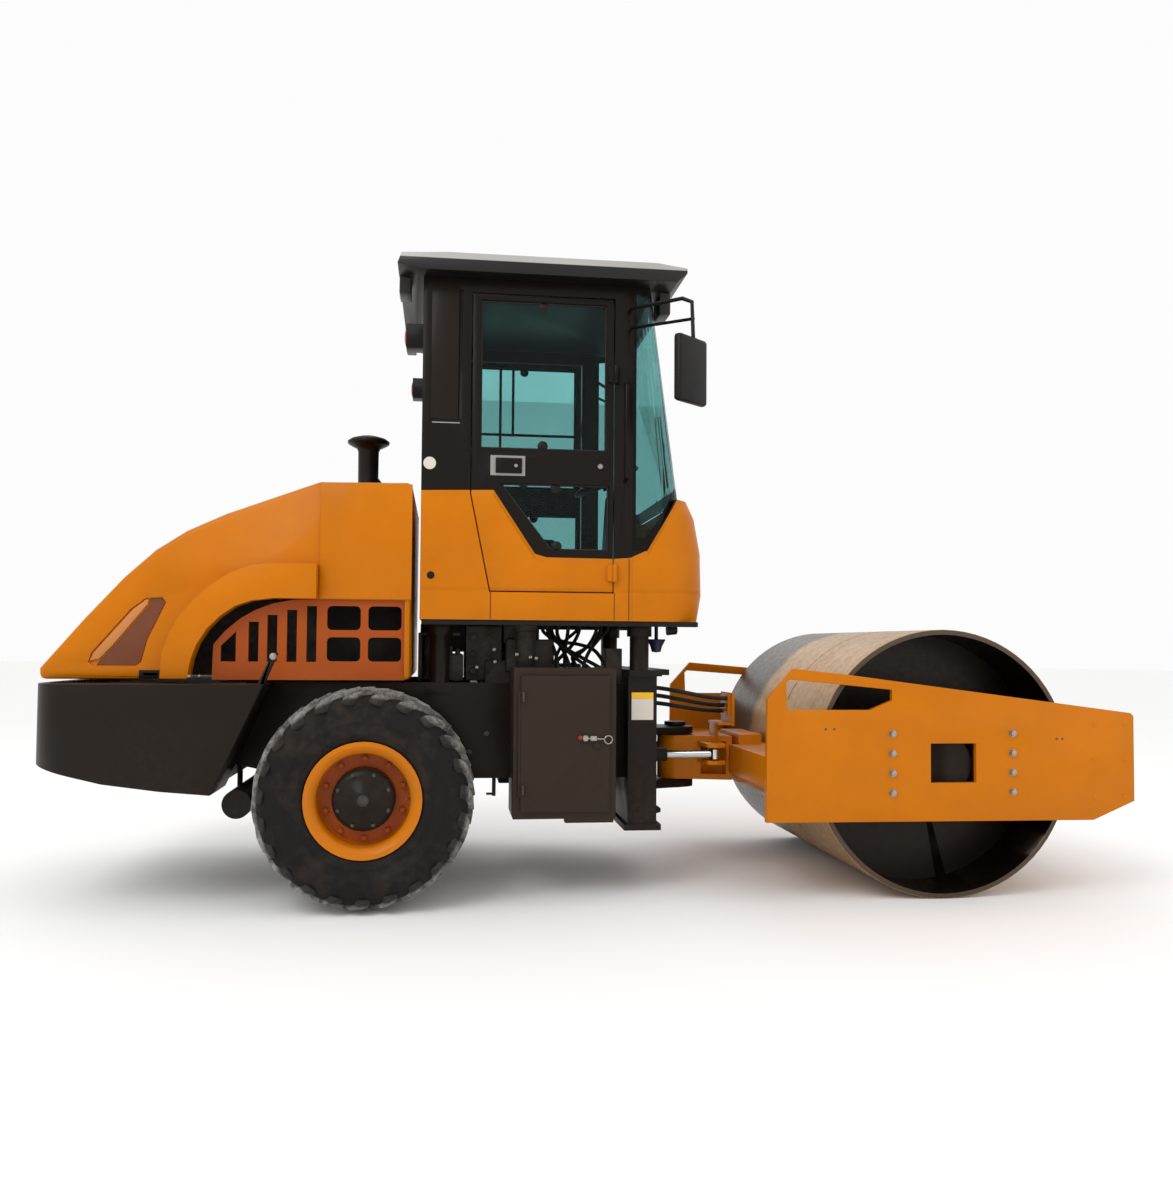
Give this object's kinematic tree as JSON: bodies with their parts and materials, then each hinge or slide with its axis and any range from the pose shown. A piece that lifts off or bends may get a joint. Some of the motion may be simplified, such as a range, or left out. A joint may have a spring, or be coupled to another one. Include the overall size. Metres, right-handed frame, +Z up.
{
  "type": "single-drum road roller",
  "caption": "Single-drum road roller with a closed cab, a tilting rear hood, two tyres, a centre hitch and a smooth steel drum in a plate frame.",
  "frame": {"origin": "centre of the bounding box's underside, on the ground", "axes": "+X forward towards the drum, +Y to the machine's left, +Z up"},
  "size_m": [5.356, 2.1752, 3.15],
  "materials": {
    "yellow_paint": "satin",
    "black_paint": "satin",
    "tyre_rubber": "matt",
    "drum_steel": "worn",
    "rod_chrome": "polished",
    "engine_iron": "matt",
    "window_glass": "tinted",
    "black_plastic": "grained",
    "seat_vinyl": "padded vinyl",
    "hose_rubber": "matt",
    "roof_paint": "satin"
  },
  "bodies": {
    "rear_frame": {"rear_chassis": "black_paint", "hitch_post": "black_paint", "counterweight": "black_paint", "engine_block": "engine_iron", "air_tank": "black_paint", "battery_box": "black_paint", "oil_tank": "black_paint", "pump_block": "engine_iron", "rear_axle": "black_paint", "cab_floor": "black_paint", "cab_side_right": "black_paint", "cab_side_left": "black_paint", "cab_rear_panel": "black_paint", "rear_window": "window_glass", "cab_nose": "yellow_paint", "windscreen": "window_glass", "cab_roof": "roof_paint", "seat": "seat_vinyl", "steering_console": "black_plastic", "mirror_right": "black_plastic", "mirror_left": "black_plastic", "steering_hose_1": "hose_rubber", "steering_hose_2": "hose_rubber", "steering_hose_3": "hose_rubber"},
    "hood": {"hood_shell": "yellow_paint", "hood_grille_right": "yellow_paint", "hood_grille_left": "yellow_paint", "hood_rear_grille": "black_paint", "air_pre_cleaner": "black_plastic"},
    "door_right": {"door_right": "black_paint", "door_right_upper_glass": "window_glass", "door_right_lower_glass": "window_glass"},
    "door_left": {"door_left": "black_paint", "door_left_upper_glass": "window_glass", "door_left_lower_glass": "window_glass"},
    "battery_box_door": {"battery_box_door": "black_paint"},
    "wheel_right": {"tyre_right": "tyre_rubber", "rim_right": "yellow_paint", "hub_right": "black_paint"},
    "wheel_left": {"tyre_left": "tyre_rubber", "rim_left": "yellow_paint", "hub_left": "black_paint"},
    "steering_wheel": {"steering_wheel": "black_plastic"},
    "hitch": {"hitch_yoke": "yellow_paint"},
    "front_frame": {"drum_plate_right": "yellow_paint", "drum_plate_left": "yellow_paint", "drum_mount_right": "black_paint", "drum_mount_left": "black_paint", "drum_frame_rear_beam": "yellow_paint", "drum_frame_front_beam": "yellow_paint"},
    "drum": {"drum_shell": "drum_steel", "vibrator_housing": "black_paint"},
    "steering_barrel_right": {"steering_barrel_right": "black_paint"},
    "steering_rod_right": {"steering_rod_right": "rod_chrome"},
    "steering_barrel_left": {"steering_barrel_left": "black_paint"},
    "steering_rod_left": {"steering_rod_left": "rod_chrome"}
  },
  "joints": [
    {"name": "wheel_right_spin", "type": "hinge", "parent": "rear_frame", "child": "wheel_right", "pos_m": [-1.133, -0.745, 0.52], "axis": [0, 1, 0], "continuous": true},
    {"name": "wheel_left_spin", "type": "hinge", "parent": "rear_frame", "child": "wheel_left", "pos_m": [-1.133, 0.745, 0.52], "axis": [0, 1, 0], "continuous": true},
    {"name": "hood_tilt", "type": "hinge", "parent": "rear_frame", "child": "hood", "pos_m": [-2.66, 0, 1.08], "axis": [0, -1, 0], "range_deg": [0, 50]},
    {"name": "door_right_swing", "type": "hinge", "parent": "rear_frame", "child": "door_right", "pos_m": [0.068, -0.68, 2.25], "axis": [0, 0, 1], "range_deg": [0, 90]},
    {"name": "door_left_swing", "type": "hinge", "parent": "rear_frame", "child": "door_left", "pos_m": [0.068, 0.68, 2.25], "axis": [0, 0, -1], "range_deg": [0, 90]},
    {"name": "battery_box_door_swing", "type": "hinge", "parent": "rear_frame", "child": "battery_box_door", "pos_m": [-0.412, -0.835, 0.769], "axis": [0, 0, -1], "range_deg": [0, 100]},
    {"name": "steering_wheel_turn", "type": "hinge", "parent": "rear_frame", "child": "steering_wheel", "pos_m": [0.125, 0, 2.165], "axis": [-0.4226, 0, 0.9063], "continuous": true},
    {"name": "articulation", "type": "hinge", "parent": "rear_frame", "child": "hitch", "pos_m": [0.527, 0, 0.625], "axis": [0, 0, 1], "range_deg": [-35, 35], "deforming": ["steering_hose_1", "steering_hose_2", "steering_hose_3"]},
    {"name": "oscillation", "type": "hinge", "parent": "hitch", "child": "front_frame", "pos_m": [0.527, 0, 0.625], "axis": [1, 0, 0], "range_deg": [-10, 10]},
    {"name": "drum_spin", "type": "hinge", "parent": "front_frame", "child": "drum", "pos_m": [1.703, 0, 0.666], "axis": [0, 1, 0], "continuous": true},
    {"name": "steering_barrel_right_pivot", "type": "hinge", "parent": "rear_frame", "child": "steering_barrel_right", "pos_m": [-0.085, -0.3, 0.66], "axis": [0, 0, 1], "range_deg": [-8, 8]},
    {"name": "steering_rod_right_slide", "type": "slide", "parent": "steering_barrel_right", "child": "steering_rod_right", "axis": [0.9997, 0.0259, 0], "range_m": [-0.18, 0.18]},
    {"name": "steering_barrel_left_pivot", "type": "hinge", "parent": "rear_frame", "child": "steering_barrel_left", "pos_m": [-0.085, 0.3, 0.66], "axis": [0, 0, 1], "range_deg": [-8, 8]},
    {"name": "steering_rod_left_slide", "type": "slide", "parent": "steering_barrel_left", "child": "steering_rod_left", "axis": [0.9997, -0.0259, 0], "range_m": [-0.18, 0.18]}
  ],
  "couplings": [
    {"joint": "steering_barrel_right_pivot", "follows": "articulation", "ratio": 0.175},
    {"joint": "steering_rod_right_slide", "follows": "articulation", "m_per_rad": 0.275},
    {"joint": "steering_barrel_left_pivot", "follows": "articulation", "ratio": 0.175},
    {"joint": "steering_rod_left_slide", "follows": "articulation", "m_per_rad": -0.275}
  ]
}
